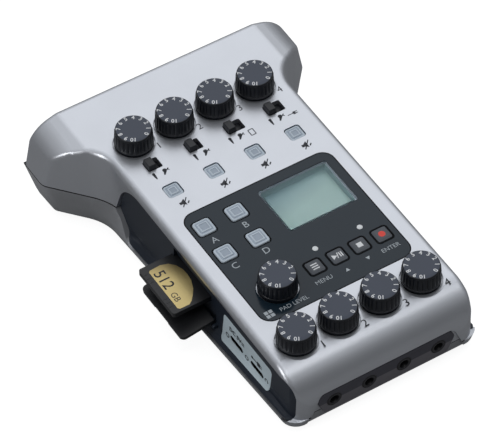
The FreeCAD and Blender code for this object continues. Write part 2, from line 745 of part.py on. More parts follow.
def display_window():
    shape = framed(WINDOW_BOX, WINDOW_RADIUS, -FIT_GAP)
    return prism(shape, -WINDOW_SINK - WINDOW_THICKNESS, -WINDOW_SINK)


def lcd_module():
    x0, x1, y0, y1 = WINDOW_BOX
    rim, drop = LCD_FRAME
    body = prism(framed(WINDOW_BOX, 0.0, LCD_MARGIN), CONTROL_BOARD_Z, LCD_TOP_Z)
    margin = LCD_MARGIN - rim
    return body.cut(block(x0 - margin, x1 + margin, y0 - margin, y1 + margin, LCD_TOP_Z - drop, 0))


def star(radius, level):
    points = []
    for i in range(2 * KNOB_RIBS):
        angle = math.pi * i / KNOB_RIBS
        reach = radius * (1 - KNOB_RIB_DEPTH / KNOB_BASE_RADIUS * (i % 2))
        points.append(Vec(reach * math.cos(angle), reach * math.sin(angle), level))
    return points


def fluted(low_radius, low, high_radius, high):
    lower, upper = star(low_radius, low), star(high_radius, high)
    faces = [Part.Face(Part.makePolygon(ring + ring[:1])) for ring in (lower, upper)]
    for i, point in enumerate(lower):
        quad = [lower[i - 1], point, upper[i], upper[i - 1], lower[i - 1]]
        faces.append(Part.Face(Part.makePolygon(quad)))
    return Part.Solid(Part.Shell(faces))


def cone(low_radius, low, high_radius, high):
    return Part.makeCone(low_radius, high_radius, high - low, Vec(0, 0, low))


def knob():
    low = -KNOB_RECESS_DEPTH + MOVE_GAP
    band = KNOB_HEIGHT - KNOB_CAP_BAND
    shoulder = KNOB_TOP_RADIUS + KNOB_CAP_TAPER
    grip = fluted(KNOB_BASE_RADIUS, KNOB_SKIRT, shoulder + KNOB_CAP_TAPER, band)
    skirt = Part.makeCylinder(KNOB_BASE_RADIUS, KNOB_SKIRT - low, Vec(0, 0, low))
    cap = cone(shoulder, band, KNOB_TOP_RADIUS, KNOB_HEIGHT - KNOB_EDGE)
    crown = cone(KNOB_TOP_RADIUS, KNOB_HEIGHT - KNOB_EDGE, KNOB_TOP_RADIUS - KNOB_EDGE, KNOB_HEIGHT)
    stem = rod((0, 0), STEM_RADIUS, CONTROL_BOARD_Z + POT_BORE_FLOOR + KEY_FLOAT, low + TINY)
    return joined([skirt, grip, cap, crown, stem])


def potentiometers():
    pots = []
    neck_top = -WALL
    head = neck_top - POT_HEAD_DROP
    for x, y in knob_points():
        body = block(x - POT_HALF, x + POT_HALF, y - POT_HALF, y + POT_HALF, CONTROL_BOARD_Z, head)
        body = body.fuse(rod((x, y), POT_NECK_RADIUS, head, neck_top))
        pots.append(body.cut(rod((x, y), STEM_RADIUS + FIT_GAP, CONTROL_BOARD_Z + POT_BORE_FLOOR, 0)))
    return Part.makeCompound(pots)


def switch_travel(i):
    return SWITCH_SLOTS[i] - SWITCH_CAP_LENGTH - 2 * SLIDE_GAP


def switch_rest(i):
    return CHANNELS[i] - SWITCH_SLOTS[i] / 2 + SLIDE_GAP + SWITCH_CAP_LENGTH / 2


def input_switch(i):
    x, travel = switch_rest(i), switch_travel(i)
    width = SWITCH_SLOT_WIDTH - 2 * SLIDE_GAP
    thickness, spare, lip = SWITCH_SHOE
    shoe_top = -WALL - SLIDE_GAP
    base = prism(tile((x, SWITCH_Y), (SWITCH_CAP_LENGTH, width)), shoe_top - TINY, 0)
    lower = outline(tile((x, SWITCH_Y), (SWITCH_CAP_LENGTH, width)), placed("z", 0))
    upper = outline(tile((x, SWITCH_Y), SWITCH_CAP_TOP), placed("z", SWITCH_CAP_RISE))
    cap = Part.makeLoft([lower, upper], True, True)
    shoe_size = (SWITCH_CAP_LENGTH + 2 * (travel + spare), SWITCH_SLOT_WIDTH + 2 * lip)
    shoe = prism(tile((x, SWITCH_Y), shoe_size), shoe_top - thickness, shoe_top)
    stem_end = shoe_top - thickness - SWITCH_STEM_DEPTH
    stem = prism(tile((x, SWITCH_Y), (SWITCH_STEM, SWITCH_STEM)), stem_end, shoe_top)
    return joined([base, cap, shoe, stem])


def switch_bodies():
    bodies = []
    top = -WALL - SLIDE_GAP - SWITCH_SHOE[0] - MOVE_GAP
    for i, x in enumerate(CHANNELS):
        travel = switch_travel(i)
        middle = switch_rest(i) + travel / 2
        length = SWITCH_STEM + travel + 2 * SLIDE_GAP
        body = block(middle - length / 2 - SWITCH_BODY[0], middle + length / 2 + SWITCH_BODY[0],
                     SWITCH_Y - SWITCH_BODY[1], SWITCH_Y + SWITCH_BODY[1], CONTROL_BOARD_Z, top)
        size = (length, SWITCH_STEM + 2 * SLIDE_GAP)
        track = prism(tile((middle, SWITCH_Y), size), top - SWITCH_STEM_DEPTH, 0)
        bodies.append(body.cut(track))
    return Part.makeCompound(bodies)


def key(kind):
    hole, radius, top, pad, rise = kind
    size = hole - 2 * KEY_GAP
    grow, thickness = KEY_FLANGE
    flange_top = -WALL - KEY_FLOAT
    body = prism(tile((0, 0), (size, size), radius - KEY_GAP), flange_top - TINY, top)
    face = prism(tile((0, 0), (pad, pad), radius / 2), top - TINY, top + rise)
    flange = prism(tile((0, 0), (hole + 2 * grow, hole + 2 * grow)), flange_top - thickness, flange_top)
    return joined([body, face, flange])


def status_leds():
    return Part.makeCompound([rod(point, LED_RADIUS, CONTROL_BOARD_Z, -FIT_GAP) for point in LED_POINTS])


def boss_holes(low, high):
    return [rod(point, BOSS_RADIUS + BOSS_GAP, low, high) for point in SCREW_POINTS]


def control_board():
    low = CONTROL_BOARD_Z - BOARD_THICKNESS
    board = block(-BOARD_HALF, BOARD_HALF, CONTROL_BOARD_Y[0], CONTROL_BOARD_Y[1], low, CONTROL_BOARD_Z)
    board = without(board, boss_holes(low - 1, 0))
    tact_top = -WALL - KEY_FLOAT - KEY_FLANGE[1] - KEY_TRAVEL - KEY_FLOAT
    tacts = []
    for point in mute_points() + pad_points() + transport_points():
        tacts.append(prism(tile(point, (2 * TACT_HALF, 2 * TACT_HALF)), CONTROL_BOARD_Z, tact_top))
    return joined([board] + tacts)


def main_board():
    low = MAIN_BOARD_Z - BOARD_THICKNESS
    front = FRONT_Y + STRIP_BACK + JACK_BODY[2]
    board = block(-BOARD_HALF, BOARD_HALF, front, MAIN_BOARD_REAR_Y, low, MAIN_BOARD_Z)
    return without(board, boss_holes(low - 1, 0))


def card_socket():
    gap, wall = CARD_SLOT_GAP, SOCKET_WALL
    start, end = -BODY_HALF + SIDE_WALL, CARD_X[1] + CARD_PUSH + SOCKET_END_GAP + wall
    front, rear = CARD_Y[0] - gap, CARD_Y[1] + gap
    low, high = CARD_Z[0] - gap, CARD_Z[1] + gap
    top = CONTROL_BOARD_Z - BOARD_THICKNESS
    body = block(start, end, front - wall, rear + wall, low - wall / 2, top)
    return body.cut(block(start - 1, end - wall, front, rear, low, high))


def memory_card():
    x0, x1, y0, y1 = CARD_X + CARD_Y
    inner = [(x1, y0, 0.6), (x1, y1 - CARD_CUT, 0.4), (x1 - CARD_CUT, y1, 0.4)]
    corners = [(x0, y0, 1.0)] + inner + [(x0, y1, 1.0)]
    return prism(corners, CARD_Z[0], CARD_Z[1])


def card_cover():
    hinge_x, hinge_z = COVER_HINGE
    radius, pin = COVER_BARREL
    near, far = hinge_x + COVER_OFFSET, hinge_x + COVER_OFFSET + COVER_THICKNESS
    y0, y1 = COVER_Y
    low, high = hinge_z - radius, hinge_z + COVER_LENGTH
    corners = [(y0, low, 0.0), (y1, low, 0.0), (y1, high, 2.0), (y0, high, 2.0)]
    plate = prism(corners, near, far, "x")
    barrel = rod(COVER_HINGE, radius, y0, y1, "y")
    web = block(hinge_x, near + TINY, y0, y1, low, hinge_z + radius)
    grip_size = (COVER_GRIP[0], COVER_GRIP[1])
    centre = ((y0 + y1) / 2, high)
    grip = prism(tile(centre, grip_size, COVER_GRIP[1] / 2 - TINY), near - 1, near + COVER_GRIP[2], "x")
    bores = [rod(COVER_HINGE, pin + FIT_GAP, y0 - 1, y0 + COVER_EAR + MOVE_GAP, "y"),
             rod(COVER_HINGE, pin + FIT_GAP, y1 - COVER_EAR - MOVE_GAP, y1 + 1, "y")]
    cover = without(joined([plate, web, barrel]), [grip] + bores)
    cover.rotate(Vec(hinge_x, 0, hinge_z), AXES["y"], -COVER_OPEN)
    return cover


def power_slider():
    length, height = SLIDER_CAP
    inner = BODY_HALF - SIDE_WALL
    start, proud = inner - MOVE_GAP - TINY, LEAF_FACE_X + SLIDER_PROUD
    cap = prism(tile((SLIDER_Y, SLIDER_Z), (length, height), 0.6), start, proud, "x")
    low, high = SLIDER_Z - height, SLIDER_Z + height
    start = proud - SLIDER_PROUD / 2
    ribs = []
    for i in range(3):
        y = SLIDER_Y + (i - 1) * length / 5
        ribs.append(block(start, WING_HALF, y - MOVE_GAP, y + MOVE_GAP, low, high))
    thickness, lip = SLIDER_SHOE
    cover = (length + 4 * max(-SLIDER_RANGE[0], SLIDER_RANGE[1]) + 2 * lip, height + 2 * lip)
    shoe = prism(tile((SLIDER_Y, SLIDER_Z), cover), inner - MOVE_GAP - thickness, inner - MOVE_GAP, "x")
    return without(cap.fuse(shoe), ribs)


def phone_jack():
    y, z = phone_centre()
    width, height, depth = PHONE_BODY
    inner = BODY_HALF - SIDE_WALL
    body = block(inner - depth, inner, y - width / 2, y + width / 2, z - height / 2, z + height / 2)
    body = body.fuse(rod((y, z), JACK_NOSE_RADIUS, inner, PHONE_NOSE_X, "x"))
    return body.cut(rod((y, z), JACK_BORE_RADIUS, inner - depth + JACK_BACK_WALL, WING_HALF, "x"))


def adapter_port():
    front = LEAF_FLOOR_X - MOVE_GAP
    body = adapter_window(-FIT_GAP, front - ADAPTER_DEPTH, front)
    body = body.cut(adapter_window(-1.0, front - ADAPTER_TONGUE[2], WING_HALF))
    centre = (sum(ADAPTER_Y) / 2, sum(ADAPTER_Z) / 2)
    tongue = prism(tile(centre, ADAPTER_TONGUE[:2]), front - ADAPTER_TONGUE[2] - TINY, front - 1, "x")
    return body.fuse(tongue)


def adapter_cover():
    lip, thickness, plug_gap = ADAPTER_COVER
    seat = LEAF_FACE_X - thickness
    plate = adapter_window(lip, seat, LEAF_FACE_X)
    plug = adapter_window(-plug_gap, seat - ADAPTER_PLUG + MOVE_GAP, seat + TINY)
    return plate.fuse(plug)


def battery_contacts():
    half, front, rear = BAY
    size, thickness = CONTACT
    radius, reach = CONTACT_SPRING
    pieces = []
    for side in (-1, 1):
        for share in (0.26, 0.74):
            y = base_y(front) + share * (base_y(rear) - base_y(front))
            z = COVER_SEAT + BAY_HEIGHT / 2
            x0, x1 = sorted((side * half, side * (half - thickness)))
            plate = block(x0, x1, y - size / 2, y + size / 2, z - size / 2, z + size / 2)
            start, end = sorted((side * (half - thickness), side * (half - thickness - reach)))
            width = radius if (side > 0) == (share < 0.5) else radius / 2
            pieces.append(from_base(plate.fuse(rod((y, z), width, start, end, "x"))))
    return Part.makeCompound(pieces)


def battery_cover():
    half, front, rear = BAY
    gap = MOVE_GAP
    y0, y1 = cover_axis()[0], base_y(rear) - gap
    plate = block(-half + gap, half - gap, y0, y1, 0, COVER_DEPTH)
    roll = rod(cover_axis(), COVER_DEPTH / 2, -half + gap, half - gap, "x")
    reach, deep, pitch, edge = COVER_GROOVE
    grooves = []
    for i in range(3):
        y = y1 - edge - pitch * i
        grooves.append(block(-reach, reach, y - deep, y + deep, -deep, deep))
    return joined([from_base(without(plate.fuse(roll), grooves)), cover_pin(*COVER_PIN)])


def rubber_feet():
    feet = []
    for x, y in FEET:
        foot = rod((x, base_y(y)), FOOT_RADIUS, -FOOT_STAND, FOOT_SEAT)
        rims = [edge for edge in foot.Edges if edge.BoundBox.ZMax < TINY - FOOT_STAND]
        feet.append(from_base(foot.makeChamfer(FOOT_CHAMFER, rims)))
    return Part.makeCompound(feet)


def case_screws():
    radius, height, sink = SCREW_HEAD
    length, width, depth = DRIVE_WIDTH
    screws = []
    for x, y in SCREW_POINTS:
        low = base_z(y) + sink
        head = rod((x, y), radius, low, low + height)
        cross = [block(x - length / 2, x + length / 2, y - width / 2, y + width / 2, low - 1, low + depth),
                 block(x - width / 2, x + width / 2, y - length / 2, y + length / 2, low - 1, low + depth)]
        shank = rod((x, y), SCREW_RADIUS, low + height - TINY, PARTING_Z + SCREW_REACH)
        screws.append(without(head, cross).fuse(shank))
    return Part.makeCompound(screws)


def build():
    dial = knob()
    mute_key, pad_key, transport_key = key(MUTE_KEY), key(PAD_KEY), key(TRANSPORT_KEY)
    nodes = {
        "top_shell": top_shell(),
        "bottom_shell": bottom_shell(),
        "left_side_panel": left_side_panel(),
        "right_side_panel": right_side_panel(),
        "front_jack_strip": front_jack_strip(),
        "rear_connector_panel": rear_connector_panel(),
        "control_overlay": control_overlay(),
        "display_window": display_window(),
        "lcd_module": lcd_module(),
        "control_board": control_board(),
        "main_board": main_board(),
        "potentiometers": potentiometers(),
        "switch_bodies": switch_bodies(),
        "status_leds": status_leds(),
        "battery_contacts": battery_contacts(),
        "battery_cover": battery_cover(),
        "rubber_feet": rubber_feet(),
        "case_screws": case_screws(),
        "port_plate": port_plate(),
        "usb_ports": usb_ports(),
        "card_socket": card_socket(),
        "memory_card": memory_card(),
        "card_cover": card_cover(),
        "headphone_jacks": headphone_jacks(),
        "xlr_connectors": xlr_connectors(),
        "power_slider": power_slider(),
        "phone_jack": phone_jack(),
        "adapter_port": adapter_port(),
        "adapter_cover": adapter_cover(),
        "pad_level_knob": moved(dial, *PAD_KNOB),
    }
    for i, x in enumerate(CHANNELS):
        number = str(i + 1)
        nodes["gain_knob_" + number] = moved(dial, x, GAIN_Y)
        nodes["volume_knob_" + number] = moved(dial, x, VOLUME_Y)
        nodes["input_switch_" + number] = input_switch(i)
        nodes["mute_button_" + number] = moved(mute_key, x, MUTE_Y)
        nodes["xlr_latch_" + number] = xlr_latch(xlr_positions()[i])
    for name, point in zip("abcd", pad_points()):
        nodes["pad_button_" + name] = moved(pad_key, *point)
    for name, point in zip(("menu", "play", "stop", "record"), transport_points()):
        nodes[name + "_button"] = moved(transport_key, *point)
    return nodes


# The recorder stands on its feet: the panel tilts up towards the rear, and the origin is under the middle
def stand(nodes):
    whole = FreeCAD.BoundBox()
    for shape in nodes.values():
        shape.rotate(Vec(0, 0, 0), AXES["x"], PANEL_TILT)
        whole.add(shape.optimalBoundingBox(False, False))
    shift = Vec(-(whole.XMin + whole.XMax) / 2, -(whole.YMin + whole.YMax) / 2, -whole.ZMin)
    for shape in nodes.values():
        shape.translate(shift)
    return shift


nodes = build()
shift = stand(nodes)
os.makedirs("parts", exist_ok=True)
for name, shape in nodes.items():
    shape.exportStep(os.path.join("parts", name + ".step"))
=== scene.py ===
import math
import bpy
from mathutils import Matrix, Vector


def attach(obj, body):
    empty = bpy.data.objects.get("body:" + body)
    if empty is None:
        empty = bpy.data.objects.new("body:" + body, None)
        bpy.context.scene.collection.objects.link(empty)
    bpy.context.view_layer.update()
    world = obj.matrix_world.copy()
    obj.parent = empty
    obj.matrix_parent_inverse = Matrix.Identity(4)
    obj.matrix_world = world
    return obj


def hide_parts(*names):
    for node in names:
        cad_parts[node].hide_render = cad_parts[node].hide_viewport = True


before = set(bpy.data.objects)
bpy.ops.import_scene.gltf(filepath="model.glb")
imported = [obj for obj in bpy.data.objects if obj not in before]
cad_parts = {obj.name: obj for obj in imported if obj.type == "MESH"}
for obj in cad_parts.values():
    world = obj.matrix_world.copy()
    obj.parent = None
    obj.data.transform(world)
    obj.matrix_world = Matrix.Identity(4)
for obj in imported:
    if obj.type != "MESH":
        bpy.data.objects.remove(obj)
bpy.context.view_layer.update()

# Lower shell: the dark lower half of the housing, with a flared rim all round its base. It is
# moulded in satin grey plastic with a fine grain, and is screwed to the upper half from below.
# Sizes are millimetres on the control panel: x to the right, y to the rear, z out of the panel.
MM = 0.001
PANEL_TILT = math.radians(5.75)
PANEL_ORIGIN = Vector((0.0, 0.0460912, 0.0385024))
PANEL = (Matrix.Translation(PANEL_ORIGIN) @ Matrix.Rotation(PANEL_TILT, 4, "X")
         @ Matrix.Scale(MM, 4))
BROAD_WAVES, BROAD_DETAIL = 60.0, 4.0
GRAIN_DETAIL, GRAIN_DEPTH = 2.0, 0.02 * MM
DARK_AT, LIGHT_AT = 0.3, 0.7
ROUGH_SPREAD = 0.15
WELD_GAP = 0.002 * MM
EDGE_ANGLE, EDGE_STEPS = math.radians(40), 2
FLAT_WEIGHT = 90
PARTING_Z = -19.4
SEAM_SHADE_DEPTH, SEAM_SHADE_EDGE = 0.4, 0.3


def tone(red, green, blue):
    linear = [v / 255 / 12.92 if v < 11 else ((v / 255 + 0.055) / 1.055) ** 2.4
              for v in (red, green, blue)]
    return (*linear, 1.0)


def finish(name, rgb, rough=0.5, metal=0.0, grain=0.35, bump=0.25, change=0.07, gloss=0.5):
    made = bpy.data.materials.new(name)
    made.use_nodes = True
    nodes, link = made.node_tree.nodes, made.node_tree.links.new
    shader = nodes["Principled BSDF"]
    shader.inputs["Metallic"].default_value = metal
    shader.inputs["Specular IOR Level"].default_value = gloss
    place = nodes.new("ShaderNodeTexCoord")
    broad = nodes.new("ShaderNodeTexNoise")
    broad.inputs["Scale"].default_value = BROAD_WAVES
    broad.inputs["Detail"].default_value = BROAD_DETAIL
    fine = nodes.new("ShaderNodeTexNoise")
    fine.inputs["Scale"].default_value = 1.0 / (grain * MM)
    fine.inputs["Detail"].default_value = GRAIN_DETAIL
    shade = nodes.new("ShaderNodeValToRGB")
    darker, lighter = shade.color_ramp.elements
    for stop, where, share in ((darker, DARK_AT, 1 - change), (lighter, LIGHT_AT, 1 + change)):
        stop.position = where
        stop.color = (*(min(part * share, 1.0) for part in tone(*rgb)[:3]), 1.0)
    spread = nodes.new("ShaderNodeMapRange")
    spread.inputs["To Min"].default_value = rough * (1.0 - ROUGH_SPREAD)
    spread.inputs["To Max"].default_value = min(rough * (1.0 + ROUGH_SPREAD), 1.0)
    relief = nodes.new("ShaderNodeBump")
    relief.inputs["Strength"].default_value = bump
    relief.inputs["Distance"].default_value = GRAIN_DEPTH
    for texture in (broad, fine):
        link(place.outputs["Object"], texture.inputs["Vector"])
    link(broad.outputs["Fac"], shade.inputs["Fac"])
    link(shade.outputs["Color"], shader.inputs["Base Color"])
    link(fine.outputs["Fac"], spread.inputs["Value"])
    link(spread.outputs["Result"], shader.inputs["Roughness"])
    link(fine.outputs["Fac"], relief.inputs["Height"])
    link(relief.outputs["Normal"], shader.inputs["Normal"])
    return made


def fade(material, rgb, start, end):
    nodes, link = material.node_tree.nodes, material.node_tree.links.new
    shader = nodes["Principled BSDF"]
    first = shader.inputs["Base Color"].links[0].from_socket
    begin = PANEL @ Vector(start)
    along = PANEL @ Vector(end) - begin
    place = nodes.new("ShaderNodeTexCoord")
    away = nodes.new("ShaderNodeVectorMath")
    away.operation = "SUBTRACT"
    away.inputs[1].default_value = begin
    share = nodes.new("ShaderNodeVectorMath")
    share.operation = "DOT_PRODUCT"
    share.inputs[1].default_value = along / along.length_squared
    blend = nodes.new("ShaderNodeMix")
    blend.data_type = "RGBA"
    blend.inputs["B"].default_value = tone(*rgb)
    link(place.outputs["Object"], away.inputs[0])
    link(away.outputs["Vector"], share.inputs[0])
    link(share.outputs["Value"], blend.inputs["Factor"])
    link(first, blend.inputs["A"])
    link(blend.outputs["Result"], shader.inputs["Base Color"])


def dress(node, material, edge=0.12, soften=False):
    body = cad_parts[node]
    body.data.materials.clear()
    body.data.materials.append(material)
    if edge:
        weld = body.modifiers.new("weld", "WELD")
        weld.merge_threshold = WELD_GAP
        bevel = body.modifiers.new("edge", "BEVEL")
        bevel.width = edge * MM
        bevel.segments = EDGE_STEPS
        bevel.limit_method = "ANGLE"
        bevel.angle_limit = EDGE_ANGLE
        bevel.harden_normals = True
    if soften:
        level = body.modifiers.new("soften", "WEIGHTED_NORMAL")
        level.weight = FLAT_WEIGHT
        level.keep_sharp = True


shell_grey = finish("lower_shell_plastic", (172, 174, 178), rough=0.42, metal=0.5,
                    grain=0.25, bump=0.4)
# Painted shade: all of the shell above a level just under the parting line is painted dark grey,
# for the shade in the seam.
fade(shell_grey, (54, 54, 56), (0, 0, PARTING_Z - SEAM_SHADE_DEPTH), (0, 0, PARTING_Z - SEAM_SHADE_EDGE))
dress("bottom_shell", shell_grey, edge=0.2)

# Battery door: a flat door of the same grey plastic as the lower shell, with moulded grip ridges.
# It hangs on two moulded pins along its front edge, under the battery bay.
dress("battery_cover", shell_grey)

# Feet: four soft black rubber discs that stand a little proud of the base.
# Each is glued into a shallow round seat moulded in the lower shell.
foot_rubber = finish("foot_rubber", (30, 30, 31), rough=0.8, grain=0.5, bump=0.6, gloss=0.3)
dress("rubber_feet", foot_rubber)

# Case screws: four small steel screws with a cross recess in their heads.
# They are driven from below, through the lower shell, into bosses of the upper shell.
screw_steel = finish("screw_steel", (140, 138, 134), rough=0.35, metal=1.0, grain=0.2, bump=0.2)
dress("case_screws", screw_steel, edge=0.05)

# Circuit boards: two boards of glass fibre under green solder mask. The main board is carried on
# standoffs in the lower shell, and the control board is held close under the panel.
board_green = finish("board_green", (22, 92, 56), rough=0.4, grain=1.5, bump=0.2, change=0.15)
for node in ("main_board", "control_board"):
    dress(node, board_green, edge=0)

# Metal parts on the boards: the knobs' potentiometers, the slide switches' bodies, the card socket
# and the battery contacts. They are pressed from tin-plated sheet and soldered down.
tin_plate = finish("tin_plate", (168, 168, 166), rough=0.3, metal=1.0, grain=0.4, bump=0.15)
for node in ("potentiometers", "switch_bodies", "card_socket", "battery_contacts"):
    dress(node, tin_plate, edge=0.05)

# Upper shell: the silver upper half of the housing, with the control panel and the two wings.
# It is moulded plastic under a satin metallic lacquer. The knob wells, key holes and the ridges
# beside the panel are moulded in, with softened edges.
silver = finish("silver_lacquer", (203, 206, 212), rough=0.36, metal=0.93,
                grain=0.12, bump=0.10, change=0.02)
dress("top_shell", silver, edge=0.22, soften=True)

# Side mouldings: dark leaf-shaped scoops in both flanks, and the dark plate of the rear inputs.
# Each is moulded by itself in satin plastic and pressed into its opening in the housing.
side_black = finish("side_moulding", (36, 43, 54), rough=0.36, grain=0.3, bump=0.3, gloss=0.3)
for node in ("left_side_panel", "right_side_panel", "rear_connector_panel"):
    dress(node, side_black)

# Front strip: the dark plastic moulding round the four phones sockets, let into the front.
# It is stepped at half height, and its lower half is the greyer one.
STRIP_Y, STEP_LOW, STEP_HIGH = -125.4, -16.5, -16.3
strip_plastic = finish("strip_plastic", (112, 110, 116), rough=0.45, grain=0.3, bump=0.3)
fade(strip_plastic, (70, 70, 80), (0, STRIP_Y, STEP_LOW), (0, STRIP_Y, STEP_HIGH))
dress("front_jack_strip", strip_plastic)

# Control overlay: a glossy slate-blue plastic film with rounded corners, glued into a flat
# recess of the panel. A thin black band laid all round it is painted shade of the gap at its edge.
OVERLAY_CENTRE, OVERLAY_SIZE, OVERLAY_RADIUS = (0.0, -68.25), (62.0, 57.5), 5.0
OVERLAY_GAP = 0.42
PRINT = 0.015
CREASE = math.radians(35)
LEAST_RADIUS = 0.05


def skin(rings, cap_first=True, cap_last=True):
    count = len(rings[0])
    verts = [tuple(p) for ring in rings for p in ring]
    faces = []
    for level in range(len(rings) - 1):
        low, high = level * count, (level + 1) * count
        for i in range(count):
            j = (i + 1) % count
            faces.append((low + i, low + j, high + j, high + i))
    if cap_first:
        faces.append(tuple(reversed(range(count))))
    if cap_last:
        faces.append(tuple(range(len(verts) - count, len(verts))))
    return verts, faces


def rounded(centre, size, radius, steps=6):
    ring = []
    for quarter, (side_x, side_y) in enumerate(((1, 1), (-1, 1), (-1, -1), (1, -1))):
        x = centre[0] + side_x * (size[0] / 2 - radius)
        y = centre[1] + side_y * (size[1] / 2 - radius)
        for i in range(steps + 1):
            angle = math.pi / 2 * (quarter + i / steps)
            ring.append((x + radius * math.cos(angle), y + radius * math.sin(angle)))
    return ring


def band(centre, size, radius, width):
    rings = []
    for inset in (0.0, width):
        reach = (size[0] - 2 * inset, size[1] - 2 * inset)
        corner = max(radius - inset, LEAST_RADIUS)
        rings.append([(x, y, PRINT) for x, y in rounded(centre, reach, corner)])
    return skin(rings, False, False)


def model(name, parts, material, body, place=PANEL, accents=()):
    verts, faces = [], []
    for points, polygons in parts:
        faces += [[i + len(verts) for i in polygon] for polygon in polygons]
        verts += points
    mesh = bpy.data.meshes.new(name)
    mesh.from_pydata([place @ Vector(v) for v in verts], [], faces)
    mesh.materials.append(material)
    for number, (first, last, accent) in enumerate(accents):
        mesh.materials.append(accent)
        for polygon in mesh.polygons[first:last]:
            polygon.material_index = number + 1
    mesh.shade_smooth()
    mesh.set_sharp_from_angle(angle=CREASE)
    made = bpy.data.objects.new(name, mesh)
    bpy.context.scene.collection.objects.link(made)
    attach(made, body)
    return made


slate = finish("slate_film", (21, 36, 47), rough=0.16, grain=0.3, bump=0.04, change=0.03,
               gloss=0.32)
dress("control_overlay", slate, edge=0)
# Flat black: painted shade over the gaps round the film and the pad keys, partly painted shade in
# the port slots, and the print of the transport keys' rims.
shade_and_print_black = finish("shade_and_print_black", (10, 11, 14), rough=0.7, grain=0.3, bump=0.1, gloss=0.1)
# Painted shade: a flat black band over the film's edge stands for the shade in its gap.
model("overlay_gap_shade", [band(OVERLAY_CENTRE, OVERLAY_SIZE, OVERLAY_RADIUS, OVERLAY_GAP)],
      shade_and_print_black, "housing")

# Display: a pale grey-green liquid crystal glass, painted darker towards its rear edge as painted
# shade of the liner's rear wall. The control board carries it below the film, in a grey moulded
# liner, and a clear acrylic plate covers it.
SCREEN_CENTRE = (13.1, -54.75)
LINER_SIZE, LINER_RADIUS = (26.96, 20.06), 0.6
LINER_LEVELS = [(0.0, -0.42), (0.0, -2.58), (0.35, -3.35)]
WINDOW_SIZE, WINDOW_RADIUS = (28.5, 21.6), 1.0
WINDOW_LEVELS = [(0.0, -0.62), (0.0, -0.24), (0.1, -0.2)]
WINDOW_BEND = 1.12
SCREEN_STEPS = 5
SCREEN_UNSHADED_END, SCREEN_SHADED_END = (13.1, -55.0, -3.4), (10.0, -43.5, -3.4)


def pillow(centre, size, radius, levels, steps=6, cap_first=True, cap_last=True):
    rings = []
    for inset, z in levels:
        reach = (size[0] - 2 * inset, size[1] - 2 * inset)
        corner = max(radius - inset, LEAST_RADIUS)
        rings.append([(x, y, z) for x, y in rounded(centre, reach, corner, steps)])
    return skin(rings, cap_first, cap_last)


lcd_glass = finish("display_glass", (202, 224, 216), rough=0.35, grain=0.6, bump=0.03, change=0.02)
# Painted shade: the glass darkens towards its rear edge, where the liner's wall casts its shadow.
fade(lcd_glass, (156, 182, 188), SCREEN_UNSHADED_END, SCREEN_SHADED_END)
dress("lcd_module", lcd_glass, edge=0)
liner_grey = finish("liner_grey", (168, 188, 190), rough=0.5, grain=0.4, bump=0.1)
liner = pillow(SCREEN_CENTRE, LINER_SIZE, LINER_RADIUS, LINER_LEVELS, SCREEN_STEPS, False, False)
model("display_liner", [liner], liner_grey, "housing")
clear = finish("window_acrylic", (240, 246, 248), rough=0.04, grain=2.0, bump=0.01, change=0.01)
acrylic = clear.node_tree.nodes["Principled BSDF"]
acrylic.inputs["Transmission Weight"].default_value = 1.0
acrylic.inputs["IOR"].default_value = WINDOW_BEND
plate = pillow(SCREEN_CENTRE, WINDOW_SIZE, WINDOW_RADIUS, WINDOW_LEVELS, SCREEN_STEPS)
window = model("window_plate", [plate], clear, "housing")
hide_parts("display_window")

# Indicator lamps: two small domed lenses of clouded white plastic, one beside the menu key and one
# beside the record key. Each is pushed up through the film from the control board.
LAMP_SPOTS = ((1.97, -76.9), (20.45, -76.9))
LENS_LEVELS = [(0.84, -3.0), (0.84, 0.0), (1.06, 0.0), (1.02, 0.1), (0.75, 0.2), (0.4, 0.25),
               (0.1, 0.27)]
LENS_STEPS = 24


def turned(centre, levels, steps, cap_first=True, cap_last=True):
    rings = []
    for radius, z in levels:
        angles = [2 * math.pi * i / steps for i in range(steps)]
        rings.append([(centre[0] + radius * math.cos(a), centre[1] + radius * math.sin(a), z)
                      for a in angles])
    return skin(rings, cap_first, cap_last)


lens_white = finish("lamp_lens", (226, 230, 232), rough=0.25, grain=0.5, bump=0.05)
lenses = model("lamp_lenses", [turned(spot, LENS_LEVELS, LENS_STEPS) for spot in LAMP_SPOTS],
               lens_white, "housing")
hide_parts("status_leds")

# Knobs: black moulded plastic, ribbed round the grip, with a smooth skirt and a satin cap that
# has white numbers printed round it. The cap is coloured a lighter blue-grey than the rest, as a
# painted reflection of the bright room overhead. Each is pushed on its shaft and turns in a round
# well.
# A level is a radius, a height and how deep its ribs are cut.
CHANNELS = (-25.5, -8.5, 8.5, 25.5)
GAIN_Y, VOLUME_Y = 0.0, -107.65
PAD_SPOT = (-18.35, -84.5)
RIBS, RIB_STEPS = 24, 8
KNOB_SIDES = RIBS * RIB_STEPS
RIB_DEPTH, RIB_SQUARENESS = 0.36, 0.45
KNOB_LEVELS = ((3.0, -7.9, 0), (3.0, -0.55, 0), (6.9, -0.6, 0), (7.15, -0.4, 0), (7.13, 1.2, 0),
               (6.98, 1.35, 0.2), (7.15, 1.5, 1), (6.9, 5.9, 1), (6.7, 6.15, 0.6), (6.68, 6.3, 0),
               (6.62, 6.8, 0), (6.52, 6.98, 0), (6.3, 7.09, 0), (4.6, 7.11, 0), (0.4, 7.09, 0))
CAP_START = 12
DIGIT_SIZE, DIGIT_WEIGHT, DIGIT_RING, DIGIT_Z = 2.35, 0.045, 5.3, 7.13
DIGITS, FIRST_DIGIT, DIGIT_TURN = 11, -60, 30
LETTER_STEPS = 3


def knob_shape(at):
    rings = []
    for radius, z, ribbed in KNOB_LEVELS:
        ring = []
        for i in range(KNOB_SIDES):
            angle = 2 * math.pi * i / KNOB_SIDES
            groove = 1 - abs(math.sin(RIBS / 2 * angle)) ** RIB_SQUARENESS
            reach = radius - RIB_DEPTH * ribbed * groove
            ring.append((at[0] + reach * math.cos(angle), at[1] + reach * math.sin(angle), z))
        rings.append(ring)
    return skin(rings)


